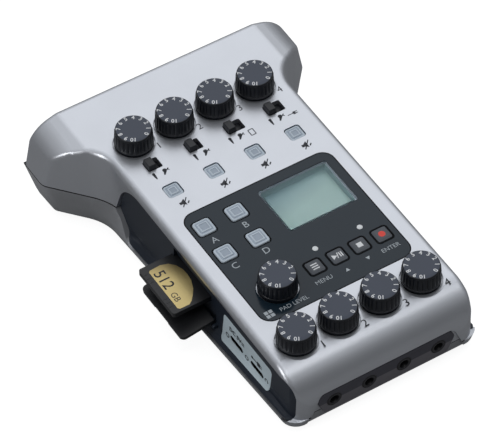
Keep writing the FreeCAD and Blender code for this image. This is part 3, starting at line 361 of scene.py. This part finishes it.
def lettering(text, size, at, turn=0.0, weight=0.0, level=PRINT):
    curve = bpy.data.curves.new("type", "FONT")
    curve.body = text
    curve.size = size
    curve.offset = weight
    curve.resolution_u = LETTER_STEPS
    curve.align_x, curve.align_y = "CENTER", "CENTER"
    holder = bpy.data.objects.new("type", curve)
    flat = bpy.data.meshes.new_from_object(holder)
    cos, sin = math.cos(turn), math.sin(turn)
    verts = [(at[0] + v.co.x * cos - v.co.y * sin, at[1] + v.co.x * sin + v.co.y * cos, level)
             for v in flat.vertices]
    faces = [tuple(p.vertices) for p in flat.polygons]
    bpy.data.objects.remove(holder)
    bpy.data.curves.remove(curve)
    bpy.data.meshes.remove(flat)
    return verts, faces


def knob_digits(at):
    parts = []
    for number in range(DIGITS):
        angle = math.radians(DIGIT_TURN * number + FIRST_DIGIT)
        spot = (at[0] + DIGIT_RING * math.cos(angle), at[1] + DIGIT_RING * math.sin(angle))
        parts.append(lettering(str(number), DIGIT_SIZE, spot, angle - math.pi / 2, DIGIT_WEIGHT,
                               DIGIT_Z))
    return parts


knob_black = finish("knob_black", (13, 17, 25), rough=0.36, grain=0.2, bump=0.2)
# Painted reflection: the cap is the knob's black made lighter and bluer, standing for the sky it
# reflects.
cap_painted_reflection = finish("cap_painted_reflection", (54, 62, 78), rough=0.36, grain=0.2, bump=0.15, change=0.03)
white_ink = finish("white_ink", (226, 228, 230), rough=0.6, grain=0.3, bump=0.05, change=0.03)
dials = [("gain_knob_" + str(i + 1), (x, GAIN_Y)) for i, x in enumerate(CHANNELS)]
dials += [("volume_knob_" + str(i + 1), (x, VOLUME_Y)) for i, x in enumerate(CHANNELS)]
dials.append(("pad_level_knob", PAD_SPOT))
cap_faces = (CAP_START * KNOB_SIDES, len(KNOB_LEVELS) * KNOB_SIDES + 2)
for node, spot in dials:
    dial = model(node + "_shape", [knob_shape(spot)], knob_black, node + "_body",
                 accents=[(*cap_faces, cap_painted_reflection)])
    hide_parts(node)
    model(node + "_digits", knob_digits(spot), white_ink, node + "_body")

# Knob collars: a thin plastic ring pressed into each round well, close round the knob's skirt.
# The eight on the panel are lacquered silver, and the one in the film is slate.
COLLAR_LEVELS = [(7.5, -0.86), (7.5, -0.12), (7.56, -0.03), (7.68, 0.01), (8.55, 0.01)]
COLLAR_STEPS = 64
collars = [turned(spot, COLLAR_LEVELS, COLLAR_STEPS, False, False) for node, spot in dials]
model("knob_collars", collars[:-1], silver, "housing")
model("pad_knob_collar", collars[-1:], slate, "housing")

# Input slide switches: black moulded caps with sloping sides that stand out of their slots.
# Each is pushed on the lever of the switch body under the panel.
for i in "1234":
    dress("input_switch_" + i, knob_black, edge=0.25)

# Mute and pad keys: pale translucent rubber with a raised square inside a groove on each face.
# A flange under the panel holds each key in its hole, and round each pad key a black band is
# painted shade of the gap.
# A level of the face is how far in it lies, and its height over the key's top.
MUTE_Y, MUTE_HOLE, MUTE_CORNER, MUTE_TOP = -27.0, 6.45, 1.15, -0.3
PAD_HOLE, PAD_CORNER, PAD_TOP = 7.2, 1.2, 0.45
PAD_FIRST, PAD_ACROSS, PAD_DOWN = (-25.5, -47.9), 13.2, 14.1
PAD_GAP_SIZE, PAD_GAP_CORNER, PAD_GAP = 7.9, 1.5, 0.4
FLANGE = [(-0.98, -3.1), (-0.98, -2.3), (0.0, -2.3)]
FACE = ((0.0, -0.45), (0.12, -0.15), (0.35, 0.0), (0.75, 0.0), (0.9, -0.18), (1.3, -0.18),
        (1.42, 0.12), (1.55, 0.2), (1.9, 0.2), (2.05, 0.06), (2.7, 0.04))
DIM_LEVELS = ((7, 8), (11, 15))
HOLE_PLAY = 0.36
KEY_STEPS = 5


def square_key(node, spot, hole, corner, top):
    levels = FLANGE + [(inset, top + rise) for inset, rise in FACE]
    side = hole - HOLE_PLAY
    around = 4 * (KEY_STEPS + 1)
    key = model(node + "_key", [pillow(spot, (side, side), corner, levels, KEY_STEPS)],
                rubber, node + "_body",
                accents=[(low * around, high * around, rubber_dim) for low, high in DIM_LEVELS])
    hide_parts(node)


rubber = finish("key_rubber", (193, 205, 216), rough=0.4, grain=0.2, bump=0.08, change=0.03)
# The groove and the middle of each key's face take a darker grey-blue rubber; in the groove it is
# partly painted shade.
rubber_dim = finish("key_rubber_ring", (160, 172, 186), rough=0.45, grain=0.2, bump=0.08,
                    change=0.03)
for i, x in enumerate(CHANNELS):
    square_key("mute_button_" + str(i + 1), (x, MUTE_Y), MUTE_HOLE, MUTE_CORNER, MUTE_TOP)
shaded_key_gaps = []
for i, name in enumerate("abcd"):
    spot = (PAD_FIRST[0] + PAD_ACROSS * (i % 2), PAD_FIRST[1] - PAD_DOWN * (i // 2))
    square_key("pad_button_" + name, spot, PAD_HOLE, PAD_CORNER, PAD_TOP)
    shaded_key_gaps.append(band(spot, (PAD_GAP_SIZE, PAD_GAP_SIZE), PAD_GAP_CORNER, PAD_GAP))
# Painted shade: flat black bands round the pad keys' holes stand for the shade in their gaps.
model("pad_key_gap_shade", shaded_key_gaps, shade_and_print_black, "housing")

# Transport keys: dark grey rubber with a low raised face, each in a black-rimmed hole of the film
# and held by a flange like the other keys. Their symbols are printed on the rubber, the record
# key's disc in red and the rest in white.
TRANSPORT_X, TRANSPORT_Y = {"menu": -2.65, "play": 6.59, "stop": 15.83, "record": 25.07}, -83.9
TRANSPORT_SIZE, TRANSPORT_CORNER = 5.84, 0.85
TRANSPORT_FACE = [(0.0, -0.1), (0.1, 0.14), (0.3, 0.22), (0.62, 0.24), (0.78, 0.35), (0.95, 0.37)]
RIM_SIZE, RIM_CORNER, RIM_WIDTH = 7.3, 1.5, 0.6
SYMBOL_Z = TRANSPORT_FACE[-1][1] + PRINT
DISC_STEPS = 20


def patch(points, level=PRINT, at=(0.0, 0.0)):
    return [(at[0] + x, at[1] + y, level) for x, y in points], [tuple(range(len(points)))]


def block(low, high, level=PRINT, at=(0.0, 0.0)):
    return patch([low, (high[0], low[1]), high, (low[0], high[1])], level, at)


def stroke(start, end, width, level=PRINT, at=(0.0, 0.0)):
    a, b = Vector(start), Vector(end)
    along = (b - a).normalized() * (width / 2)
    across = Vector((-along.y, along.x))
    return patch([tuple(p) for p in (a - across, b - across, b + across, a + across)], level, at)


def disc(centre, radius, level=PRINT):
    angles = [2 * math.pi * i / DISC_STEPS for i in range(DISC_STEPS)]
    return patch([(radius * math.cos(a), radius * math.sin(a)) for a in angles], level, centre)


dark_rubber = finish("dark_key_rubber", (74, 79, 86), rough=0.45, grain=0.2, bump=0.1)
red_ink = finish("red_ink", (228, 66, 54), rough=0.5, grain=0.3, bump=0.05, change=0.04)
spots = {name: (x, TRANSPORT_Y) for name, x in TRANSPORT_X.items()}
for name, spot in spots.items():
    body = pillow(spot, (TRANSPORT_SIZE, TRANSPORT_SIZE), TRANSPORT_CORNER,
                  FLANGE + TRANSPORT_FACE, KEY_STEPS)
    key = model(name + "_key", [body], dark_rubber, name + "_button_body")
    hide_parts(name + "_button")
rims = [band(spot, (RIM_SIZE, RIM_SIZE), RIM_CORNER, RIM_WIDTH) for spot in spots.values()]
model("key_rims", rims, shade_and_print_black, "housing")
symbols = {
    "menu": [stroke((-1.3, y), (1.3, y), 0.5, SYMBOL_Z, spots["menu"]) for y in (-1.05, 0.0, 1.05)],
    "stop": [block((-1.05, -1.05), (1.05, 1.05), SYMBOL_Z, spots["stop"])],
    "play": [patch([(-2.0, -1.1), (-0.1, 0.0), (-2.0, 1.1)], SYMBOL_Z, spots["play"]),
             stroke((-0.3, -1.2), (0.45, 1.2), 0.34, SYMBOL_Z, spots["play"]),
             stroke((1.0, -1.1), (1.0, 1.1), 0.45, SYMBOL_Z, spots["play"]),
             stroke((1.8, -1.1), (1.8, 1.1), 0.45, SYMBOL_Z, spots["play"])],
    "record": [disc(spots["record"], 1.3, SYMBOL_Z)],
}
for name, parts in symbols.items():
    ink = red_ink if name == "record" else white_ink
    model(name + "_symbol", parts, ink, name + "_button_body")

# Printed marks on the panel: black ink on the silver lacquer. Each channel has its number at both
# knobs, a microphone and a clip at its switch, and a crossed loudspeaker at its mute key.
# A telephone at the third switch and a plug at the fourth are added to these.
NUMBER_ASIDE = 6.75
GAIN_NUMBER, GAIN_NUMBER_Y = 4.1, -6.25
VOLUME_NUMBER, VOLUME_NUMBER_Y = 4.4, -114.15
SYMBOL_Y = -18.0
MICROPHONE = [(-0.5, 1.0), (-0.45, -0.3), (-0.2, -1.8), (0.2, -1.8), (0.45, -0.3), (0.5, 1.0)]
MICROPHONE_HEAD, MICROPHONE_RADIUS = 0.9, 0.6
MICROPHONE_ASIDE, CLIP_ASIDE = (-2.1, -2.1, -4.3, -4.3), (2.1, 2.1, -0.4, -0.4)
CLIP = [(-1.1, -1.3), (-0.6, -1.5), (0.7, -0.1), (-0.2, 0.7)]
CLIP_EYE, CLIP_RADIUS = (0.15, 0.55), 0.85
SPEAKER_ASIDE, SPEAKER_Y = 0.35, -34.1
SPEAKER_CONE = [(-1.0, -0.6), (0.4, -1.6), (0.4, 1.6), (-1.0, 0.6)]
PHONE = [(-0.95, -1.4), (0.95, -1.4), (0.95, 1.4), (-0.95, 1.4)]
PHONE_SPOT, PHONE_LINE = (12.7, -18.5), 0.35
PLUG_SPOT, PLUG_LINE = (30.0, -18.7), 0.32


def channel_marks(i, x):
    number = str(i + 1)
    microphone = (x + MICROPHONE_ASIDE[i], SYMBOL_Y)
    clip = (x + CLIP_ASIDE[i], SYMBOL_Y)
    speaker = (x + SPEAKER_ASIDE, SPEAKER_Y)
    return [lettering(number, GAIN_NUMBER, (x + NUMBER_ASIDE, GAIN_NUMBER_Y)),
            lettering(number, VOLUME_NUMBER, (x + NUMBER_ASIDE, VOLUME_NUMBER_Y)),
            patch(MICROPHONE, at=microphone),
            disc((microphone[0], SYMBOL_Y + MICROPHONE_HEAD), MICROPHONE_RADIUS),
            patch(CLIP, at=clip),
            disc((clip[0] + CLIP_EYE[0], SYMBOL_Y + CLIP_EYE[1]), CLIP_RADIUS),
            stroke((1.0, 0.2), (1.8, 1.0), 0.45, at=clip),
            stroke((1.8, -0.1), (1.2, 0.7), 0.35, at=clip),
            block((-1.9, -0.6), (-1.0, 0.6), at=speaker),
            patch(SPEAKER_CONE, at=speaker),
            stroke((-1.5, -1.9), (1.7, 1.7), 0.4, at=speaker),
            stroke((0.9, -1.1), (1.8, -0.2), 0.5, at=speaker)]


black_ink = finish("black_ink", (40, 43, 50), rough=0.6, grain=0.3, bump=0.05, change=0.03)
marks = []
for i, x in enumerate(CHANNELS):
    marks += channel_marks(i, x)
marks += [stroke(PHONE[i - 1], PHONE[i], PHONE_LINE, at=PHONE_SPOT) for i in range(4)]
marks.append(stroke((-2.2, 0), (0, 0), PLUG_LINE, at=PLUG_SPOT))
marks.append(block((0, -0.7), (1.0, 0.7), at=PLUG_SPOT))
marks += [stroke((1.0, y), (1.9, y), PLUG_LINE, at=PLUG_SPOT) for y in (-0.4, 0.4)]
model("panel_marks", marks, black_ink, "housing")

# Printed marks on the film: pale grey ink on the slate. They are the pads' letters, the keys'
# names, two arrows, and the name and the sign of the pads' level.
LETTER_SIZE, NAME_SIZE, THIN = 3.9, 2.5, -0.01
LETTERS = {"A": (-25.34, -54.83), "B": (-12.54, -54.61), "C": (-25.54, -68.66),
           "D": (-12.72, -68.51)}
NAMES = {"MENU": (-3.14, -90.52), "ENTER": (24.41, -90.56)}
LEVEL_SIZE, LEVEL_SPOT = 2.4, (-17.48, -93.76)
ARROW_UP, ARROW_DOWN = (6.23, -90.86), (15.22, -90.29)
SIGN_SPOT, SIGN_STEP, SIGN_HALF = (-27.2, -93.3), 0.88, 0.7
pale_ink = finish("pale_ink", (178, 186, 192), rough=0.6, grain=0.3, bump=0.05, change=0.03)
lines = [lettering(text, LETTER_SIZE, spot, weight=THIN) for text, spot in LETTERS.items()]
lines += [lettering(text, NAME_SIZE, spot, weight=THIN) for text, spot in NAMES.items()]
lines.append(lettering("PAD LEVEL", LEVEL_SIZE, LEVEL_SPOT, weight=THIN))
lines.append(patch([(-0.85, -0.65), (0.85, -0.65), (0, 0.8)], at=ARROW_UP))
lines.append(patch([(0.85, 0.65), (-0.85, 0.65), (0, -0.8)], at=ARROW_DOWN))
for x in (-SIGN_STEP, SIGN_STEP):
    for y in (-SIGN_STEP, SIGN_STEP):
        lines.append(block((-SIGN_HALF, -SIGN_HALF), (SIGN_HALF, SIGN_HALF),
                           at=(SIGN_SPOT[0] + x, SIGN_SPOT[1] + y)))
model("overlay_marks", lines, pale_ink, "housing")

# Memory card: a black moulded card with a curved gold paper label and small grip ribs.
# It stands half out of its slot in the left side, and slides.
LABEL = [(-47.9, -47.2), (-47.3, -46.6), (-42.9, -46.3), (-40.1, -47.3), (-38.2, -49.3),
         (-37.1, -52.2), (-36.9, -55.0), (-37.3, -58.2), (-38.6, -61.5), (-40.1, -63.8),
         (-42.0, -66.0), (-43.4, -67.0), (-47.2, -67.0), (-47.9, -66.3)]
LABEL_Z = -10.93
LABEL_UNSHADED_END, LABEL_SHADOW_END = (-43.0, -54.0, LABEL_Z), (-37.5, -47.0, LABEL_Z)
WORDS_Z, WORDS_TURN = LABEL_Z + PRINT, -math.pi / 2
NUMBER_SIZE, NUMBER_SPOT, NUMBER_WEIGHT = 6.0, (-45.3, -52.8), 0.03
UNIT_SIZE, UNIT_SPOT = 3.4, (-45.9, -61.6)
GRIP_X, GRIP_PLACES = -49.35, (-64.5, -62.5, -60.5, -51.5, -49.5, -47.5)
GRIP_SIZE, GRIP_RADIUS, GRIP_STEPS = (1.5, 0.45), 0.2, 3
GRIP_LEVELS = [(0.0, -10.96), (0.0, -10.9), (0.1, -10.86)]
card_black = finish("card_black", (26, 27, 30), rough=0.4, grain=0.3, bump=0.2)
dress("memory_card", card_black, edge=0.15)
gold = finish("gold_label", (206, 186, 128), rough=0.35, metal=0.55, grain=0.5, bump=0.05,
              change=0.05)
# Painted shadow: the label darkens towards its corner by the housing, where the housing's shadow
# falls on it.
fade(gold, (120, 104, 70), LABEL_UNSHADED_END, LABEL_SHADOW_END)
model("card_label", [patch(LABEL[::-1], LABEL_Z)], gold, "memory_card_body")
words = [lettering("512", NUMBER_SIZE, NUMBER_SPOT, WORDS_TURN, NUMBER_WEIGHT, WORDS_Z),
         lettering("GB", UNIT_SIZE, UNIT_SPOT, WORDS_TURN, level=WORDS_Z)]
model("card_words", words, black_ink, "memory_card_body")
grips = [pillow((GRIP_X, y), GRIP_SIZE, GRIP_RADIUS, GRIP_LEVELS, GRIP_STEPS) for y in GRIP_PLACES]
model("card_ribs", grips, card_black, "memory_card_body")

# Data port plate: a pale printed plate let into the left side moulding, with two port slots in it.
# Its marks are printed in black: the supply voltage, a plug, and a ring beside each slot.
# On this side x runs forward along the panel and y out of it, and PLATE_FACE is the printed face.
SIDE = PANEL @ Matrix(((0, 0, -1, 0), (-1, 0, 0, 0), (0, 1, 0, 0), (0, 0, 0, 1)))
PLATE_FACE = 36.82
VOLTAGE_SPOT, VOLTAGE_SIZE, VOLTAGE_WEIGHT = (86.3, -12.4), 2.7, 0.09
CURRENT_SPOTS = ((91.2, -12.0), (91.2, -12.9))
LEAD_SPOT, LEAD_END, PLUG_BODY = (100.3, -12.9), (97.2, -12.9), (100.4, -12.9)
RING_SPOTS = ((81.2, -17.4), (93.7, -17.0), (106.4, -16.4))
RING_LEVELS, RING_STEPS = [(0.7, PLATE_FACE), (1.15, PLATE_FACE)], 24
port_paint = finish("port_plate", (206, 222, 230), rough=0.4, grain=0.4, bump=0.08)
dress("port_plate", port_paint, edge=0.05)
# The port sockets take the flat black of the gaps, which stands partly for the shade inside their
# slots.
dress("usb_ports", shade_and_print_black, edge=0.05)
side_marks = [lettering("DC 5V", VOLTAGE_SIZE, VOLTAGE_SPOT, 0, VOLTAGE_WEIGHT, PLATE_FACE)]
side_marks += [stroke((-0.9, 0), (0.9, 0), 0.42, PLATE_FACE, spot) for spot in CURRENT_SPOTS]
side_marks.append(stroke((-3.0, 0), (0.2, 0), 0.45, PLATE_FACE, LEAD_SPOT))
side_marks.append(disc(LEAD_END, 0.6, PLATE_FACE))
side_marks.append(block((0, -1.0), (1.9, 1.0), PLATE_FACE, PLUG_BODY))
side_marks += [stroke((1.9, y), (3.1, y), 0.35, PLATE_FACE, PLUG_BODY) for y in (-0.5, 0.5)]
side_marks += [turned(spot, RING_LEVELS, RING_STEPS, False, False) for spot in RING_SPOTS]
model("port_marks", side_marks, black_ink, "housing", SIDE)

# Release tabs: a pressed steel tab over each microphone input at the rear.
# It is sprung, held by a flange behind the panel, and pressed to let the plug go.
for i in "1234":
    dress("xlr_latch_" + i, tin_plate, edge=0.1)

# Sockets, slider and covers: the microphone inputs, the phones sockets, the adapter port with its
# pull-off cap, the power slider and the card slot's hinged cover, all of black moulded plastic.
# The sockets are fixed behind their openings, and the others move in the side mouldings.
socket_black = finish("socket_black", (22, 23, 26), rough=0.4)
for node in ("xlr_connectors", "headphone_jacks", "phone_jack", "adapter_port", "adapter_cover",
             "power_slider", "card_cover"):
    dress(node, socket_black, edge=0.1)

# Contact rings: a pressed and dulled steel ring at the mouth of each phones socket in the front.
# On the front x runs to the right and y out of the panel. A level is a radius, and how far forward.
FRONT = PANEL @ Matrix(((1, 0, 0, 0), (0, 0, -1, 0), (0, 1, 0, 0), (0, 0, 0, 1)))
PHONES_X, PHONES_Y = (-21.375, -7.125, 7.125, 21.375), -16.4
MOUTH_LEVELS = [(1.83, 124.6), (1.83, 125.42), (1.95, 125.5), (2.3, 125.5), (2.42, 125.4)]
MOUTH_STEPS = 32
ring_steel = finish("ring_steel", (84, 84, 88), rough=0.3, metal=1.0, grain=0.2, bump=0.1)
mouths = [turned((x, PHONES_Y), MOUTH_LEVELS, MOUTH_STEPS, False, False) for x in PHONES_X]
model("socket_rings", mouths, ring_steel, "housing", FRONT)

# Floor: a wide sheet of plain pale paper that the recorder stands on.
# It shows white to the camera and through the clear plate, and is a dull grey to everything else.
FLOOR_REACH = 6.0
PAPER_SHADE, PAPER_ROUGH, PAPER_GLOW = 0.30, 0.9, 0.90
corners = [(x * FLOOR_REACH, y * FLOOR_REACH, 0) for x, y in ((-1, -1), (1, -1), (1, 1), (-1, 1))]
floor_mesh = bpy.data.meshes.new("floor")
floor_mesh.from_pydata(corners, [], [(0, 1, 2, 3)])
floor = bpy.data.objects.new("floor", floor_mesh)
bpy.context.scene.collection.objects.link(floor)
paper = bpy.data.materials.new("paper")
paper.use_nodes = True
nodes, link = paper.node_tree.nodes, paper.node_tree.links.new
sheet = nodes["Principled BSDF"]
sheet.inputs["Base Color"].default_value = (PAPER_SHADE, PAPER_SHADE, PAPER_SHADE, 1)
sheet.inputs["Roughness"].default_value = PAPER_ROUGH
sheet.inputs["Specular IOR Level"].default_value = 0.0
path = nodes.new("ShaderNodeLightPath")
glow = nodes.new("ShaderNodeEmission")
glow.inputs["Strength"].default_value = PAPER_GLOW
both = nodes.new("ShaderNodeAddShader")
through = nodes.new("ShaderNodeMath")
through.operation = "ADD"
through.use_clamp = True
pick = nodes.new("ShaderNodeMixShader")
link(sheet.outputs["BSDF"], both.inputs[0])
link(glow.outputs["Emission"], both.inputs[1])
link(path.outputs["Is Camera Ray"], through.inputs[0])
link(path.outputs["Is Transmission Ray"], through.inputs[1])
link(through.outputs["Value"], pick.inputs["Fac"])
link(sheet.outputs["BSDF"], pick.inputs[1])
link(both.outputs["Shader"], pick.inputs[2])
link(pick.outputs["Shader"], nodes["Material Output"].inputs["Surface"])
floor_mesh.materials.append(paper)

# Studio: a plain room, brighter overhead and to the rear and darker low in front, and three soft
# lamps over the recorder. A tone of the room is how far up it lies, and its brightness.
ROOM_UP = (0.2, 0.3, 0.8)
ROOM_TONES = ((0.0, 0.14), (0.15, 0.17), (0.3, 0.26), (0.5, 0.42), (0.7, 0.6), (0.81, 0.85),
              (0.88, 1.05))
ROOM_RED, ROOM_BLUE = 0.98, 1.03


def lamp(name, place, target, size, power):
    data = bpy.data.lights.new(name, "AREA")
    data.shape = "RECTANGLE"
    data.size, data.size_y = size
    data.energy = power
    made = bpy.data.objects.new(name, data)
    made.location = place
    made.rotation_mode = "QUATERNION"
    made.rotation_quaternion = (Vector(target) - Vector(place)).to_track_quat("-Z", "Y")
    bpy.context.scene.collection.objects.link(made)
    return made


world = bpy.data.worlds.new("studio")
bpy.context.scene.world = world
world.use_nodes = True
nodes, link = world.node_tree.nodes, world.node_tree.links.new
room = nodes["Background"]
looking = nodes.new("ShaderNodeTexCoord")
height = nodes.new("ShaderNodeVectorMath")
height.operation = "DOT_PRODUCT"
height.inputs[1].default_value = ROOM_UP
wall = nodes.new("ShaderNodeValToRGB")
while len(wall.color_ramp.elements) < len(ROOM_TONES):
    wall.color_ramp.elements.new(0.5)
for stop, (where, level) in zip(wall.color_ramp.elements, ROOM_TONES):
    stop.position = where
    stop.color = (level * ROOM_RED, level, level * ROOM_BLUE, 1)
link(looking.outputs["Generated"], height.inputs[0])
link(height.outputs["Value"], wall.inputs["Fac"])
link(wall.outputs["Color"], room.inputs["Color"])
room.inputs["Strength"].default_value = 1.0
lamp("key_light", (0.65, 0.75, 1.0), (0, 0, 0), (0.9, 0.9), 0.8)
lamp("fill_light", (-1.28, -0.08, 0.8), (0, 0, 0.02), (0.22, 0.5), 3.6)
lamp("front_light", (0.0, -0.5, 1.25), (0, 0, 0.03), (1.2, 0.16), 1.6)

# Camera: stands in front and to the left, about 1.2 metres off, looking down on the panel.
# Its turn, rise and roll are taken from the panel, and its stand is in the panel's millimetres.
TURN, RISE, ROLL = math.radians(-31.632), math.radians(49.002), math.radians(-0.632)
STAND = (-420.83, -720.26, 898.72)
LENS, SENSOR = 245.16, 36.0
back = Vector((math.sin(TURN) * math.cos(RISE), -math.cos(TURN) * math.cos(RISE), math.sin(RISE)))
sideways = Vector((math.cos(TURN), math.sin(TURN), 0))
upright = back.cross(sideways)
right = math.cos(ROLL) * sideways + math.sin(ROLL) * upright
up = -math.sin(ROLL) * sideways + math.cos(ROLL) * upright
facing = Matrix.Rotation(PANEL_TILT, 3, "X") @ Matrix((right, up, back)).transposed()
tripod = bpy.data.cameras.new("camera")
tripod.lens = LENS
tripod.sensor_width = SENSOR
tripod.clip_start, tripod.clip_end = 0.1, 20.0
camera = bpy.data.objects.new("camera", tripod)
camera.matrix_world = Matrix.Translation(PANEL @ Vector(STAND)) @ facing.to_4x4()
bpy.context.scene.collection.objects.link(camera)
bpy.context.scene.camera = camera
bpy.context.scene.view_settings.view_transform = "Standard"
